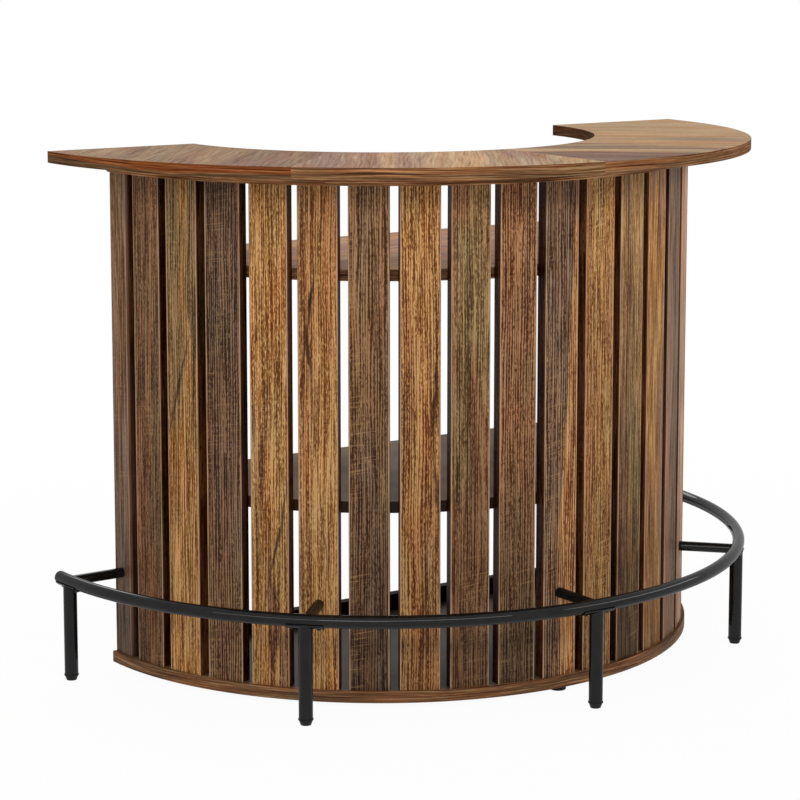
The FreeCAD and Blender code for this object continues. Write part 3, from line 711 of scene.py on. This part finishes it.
class BARCOUNTER_OT_boards(bpy.types.Operator):
    """Finishes the bottom board, the shelves, the end panels and the rear guard"""

    bl_idname = "barcounter.boards"
    bl_label = "Boards"

    def execute(self, context):
        settings = context.scene.counter_settings
        paint = (tuple(settings.board_dark), tuple(settings.board_light))
        dress("bottom_board", self.bottom_wood(paint))
        # Painted light: the middle shelf's paint is 2.5 times as light, as it is lit less inside the counter.
        shelf = [tuple(2.5 * level for level in tone) for tone in paint]
        dress("middle_shelf", painted_board("lit_shelf_paint", shelf, screen(50, 38, 31), 71.0))
        # Painted light: the upper shelf's face is 1.72 times as light, for the shade of the counter top above
        # it.
        face = broad_face("tan", "blush", 0.50, 1.72)
        band = edge_band("walnut", "umber", lightness=1.3)
        grain = math.radians(90)
        dress("upper_shelf", level_wood("upper_shelf_wood", "upper_shelf", grain, 83.0, face, band))
        # The guard's level faces are 2.2 times as light as its sides.
        guard = tuple(settings.guard_colour)
        lighter = tuple(2.2 * level for level in guard)
        dress("rear_guard", painted_board("guard_paint", (lighter, lighter), guard, 77.0))
        for index, name in enumerate(nodes_named("end_panel")):
            dress(name, self.panel_wood(index))
        return {"FINISHED"}

    @staticmethod
    def bottom_wood(paint):
        """Painted faces, with wood along the outline and on the lip in front of the slats."""
        finish = lacquered("bottom_board_wood")
        place = finish.place()
        edge = edge_place(finish, place, "bottom_board")
        band, height = wood_grain(finish, edge, 61.0, edge_band("chestnut", "umber"))
        cloud = finish.noise(place, (6, 6, 6), 63.0, 3.0)
        face = finish.ramp(finish.strong(cloud, 2.0), [(0.2, paint[0]), (0.8, paint[1])])
        out = finish.parts(arc_place(finish, place))[1]
        within = finish.step(out, BASE_LIP_RADIUS, BASE_LIP_RADIUS - 0.001)
        colour = finish.mix(finish.faces_up() * within, band, face)
        finish_wood(finish, colour, height, 0.46 + height * 0.2, 0.0005)
        return finish.material

    @staticmethod
    def panel_wood(index):
        """An end panel's own board, with its grain upright."""
        finish = lacquered(f"panel_wood_{index + 1}")
        place = finish.place()
        colour, height = wood_grain(finish, place, 91.0 + 7 * index,
                                    Board("umber", "chestnut", 0.4, 1.15, 0.3, contrast=3.4))
        finish_wood(finish, colour, height, 0.52 + height * 0.2, 0.0008)
        return finish.material


class BARCOUNTER_OT_rail(bpy.types.Operator):
    """Coats the foot rail, its legs and its stretchers, and finishes their plastic ends"""

    bl_idname = "barcounter.rail"
    bl_label = "Foot rail"

    def execute(self, context):
        coat = powder_coat("black_powder_coat", 5.0)
        for name in nodes_named("rail_segment", "rail_leg", "stretcher", "rail_connectors"):
            dress(name, coat)
        plastic = moulded_plastic("black_plastic", 8.0)
        for name in nodes_named("tube_plugs", "levelling_foot"):
            dress(name, plastic)
        return {"FINISHED"}


class BARCOUNTER_OT_fasteners(bpy.types.Operator):
    """Finishes the bolts, screws, shelf pins, inserts and dowels"""

    bl_idname = "barcounter.fasteners"
    bl_label = "Fasteners"

    def execute(self, context):
        zinc = plated_steel("zinc_plated_steel", (screen(118, 117, 112), screen(156, 154, 148)), 3.0)
        for name in ("shelf_pins", "carcass_screws", "foot_inserts"):
            dress(name, zinc)
        dress("rail_bolts", plated_steel("blackened_steel", (screen(40, 40, 41), screen(66, 65, 64)), 4.0))
        dress("wooden_dowels", beech("dowel_beech", 6.0))
        return {"FINISHED"}


# ---- stage ----

class BARCOUNTER_OT_stage(bpy.types.Operator):
    """Builds the floor, the soft studio light, the white surround and the camera"""

    bl_idname = "barcounter.stage"
    bl_label = "Stage"

    def execute(self, context):
        settings = context.scene.stage_settings
        self.floor()
        self.surround(settings.ambient)
        self.lamp("key_lamp", (-2.0, -4.6, 3.4), (6.0, 0.7), settings.key_power)
        self.lamp("side_lamp", (-4.2, -2.4, 2.6), (5.0, 0.7), settings.side_power)
        self.lamp("fill_lamp", (4.2, -2.8, 2.8), (6.0, 0.9), settings.fill_power)
        self.lamp("back_lamp", (1.4, 4.2, 3.4), (3.0, 1.6), settings.back_power)
        self.camera(settings)
        context.scene.view_settings.view_transform = "Standard"
        return {"FINISHED"}

    @staticmethod
    def floor():
        """A wide pale floor that reads as white and still takes a faint shadow."""
        reach = 9.0
        corners = [(-reach, -reach, 0), (reach, -reach, 0), (reach, reach, 0), (-reach, reach, 0)]
        mesh = bpy.data.meshes.new("floor")
        mesh.from_pydata(corners, [], [(0, 1, 2, 3)])
        floor = bpy.data.objects.new("floor", mesh)
        bpy.context.scene.collection.objects.link(floor)
        finish = Finish("pale_floor", Base_Color=(0.9, 0.9, 0.9, 1), Roughness=0.9, Specular_IOR_Level=0.0)
        paint = Socket(finish, finish.shader.outputs[0])
        glow = finish.node("ShaderNodeEmission", None, {"Strength": 1.0})
        across, depth, _ = finish.parts(finish.place())
        far = finish.step(finish.reach(across, depth), 1.0, 3.0)
        share = finish.seen_directly() * (0.95 + far * 0.05)
        blend = finish.node("ShaderNodeMixShader", None, {0: share, 1: paint, 2: glow})
        finish.plug(blend, finish.tree.nodes["Material Output"].inputs["Surface"])
        mesh.materials.append(finish.material)

    @staticmethod
    def surround(ambient):
        """White all around, at full strength only where it is seen."""
        world = bpy.data.worlds.new("white_surround")
        bpy.context.scene.world = world
        world.use_nodes = True
        nodes = Nodes(world.node_tree)
        background = nodes.tree.nodes["Background"]
        nodes.plug((1, 1, 1, 1), background.inputs["Color"])
        nodes.plug(ambient + nodes.seen_directly() * (1 - ambient), background.inputs["Strength"])

    @staticmethod
    def lamp(name, place, size, power):
        """A wide soft box that faces the middle of the counter."""
        light = bpy.data.lights.new(name, "AREA")
        light.shape = "RECTANGLE"
        light.size, light.size_y = size
        light.energy = power
        lamp = bpy.data.objects.new(name, light)
        bpy.context.scene.collection.objects.link(lamp)
        lamp.location = place
        aim = Vector((0, 0, 0.55)) - Vector(place)
        lamp.rotation_euler = aim.to_track_quat("-Z", "Y").to_euler()

    @staticmethod
    def camera(settings):
        """A long lens, set back from the counter's left front."""
        lens = bpy.data.cameras.new("camera")
        lens.sensor_width = 36.0
        lens.lens = settings.lens
        lens.shift_y = settings.shift
        lens.clip_end = 60.0
        camera = bpy.data.objects.new("camera", lens)
        bpy.context.scene.collection.objects.link(camera)
        camera.location = settings.camera_place
        camera.rotation_euler = (math.pi / 2 - settings.camera_pitch, 0, -settings.camera_yaw)
        bpy.context.scene.camera = camera


# ---- add-on ----

class BARCOUNTER_PT_panel(bpy.types.Panel):
    """Lists the steps that finish the counter"""

    bl_idname = "BARCOUNTER_PT_panel"
    bl_label = "Bar Counter"
    bl_space_type = "VIEW_3D"
    bl_region_type = "UI"
    bl_category = "Bar Counter"

    def draw(self, context):
        layout = self.layout
        for settings in (context.scene.counter_settings, context.scene.stage_settings):
            box = layout.box()
            for name in settings.__annotations__:
                box.prop(settings, name)
        for step in STEPS:
            layout.operator(step.bl_idname)


STEPS = (BARCOUNTER_OT_slats, BARCOUNTER_OT_top, BARCOUNTER_OT_boards, BARCOUNTER_OT_rail,
         BARCOUNTER_OT_fasteners, BARCOUNTER_OT_stage)
CLASSES = (CounterSettings, StageSettings, *STEPS, BARCOUNTER_PT_panel)


def register():
    for kind in CLASSES:
        bpy.utils.register_class(kind)
    bpy.types.Scene.counter_settings = bpy.props.PointerProperty(type=CounterSettings)
    bpy.types.Scene.stage_settings = bpy.props.PointerProperty(type=StageSettings)


def unregister():
    del bpy.types.Scene.stage_settings
    del bpy.types.Scene.counter_settings
    for kind in reversed(CLASSES):
        bpy.utils.unregister_class(kind)


def main():
    register()
    bpy.ops.barcounter.slats()
    bpy.ops.barcounter.top()
    bpy.ops.barcounter.boards()
    bpy.ops.barcounter.rail()
    bpy.ops.barcounter.fasteners()
    bpy.ops.barcounter.stage()
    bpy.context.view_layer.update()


if __name__ == "__main__":
    main()
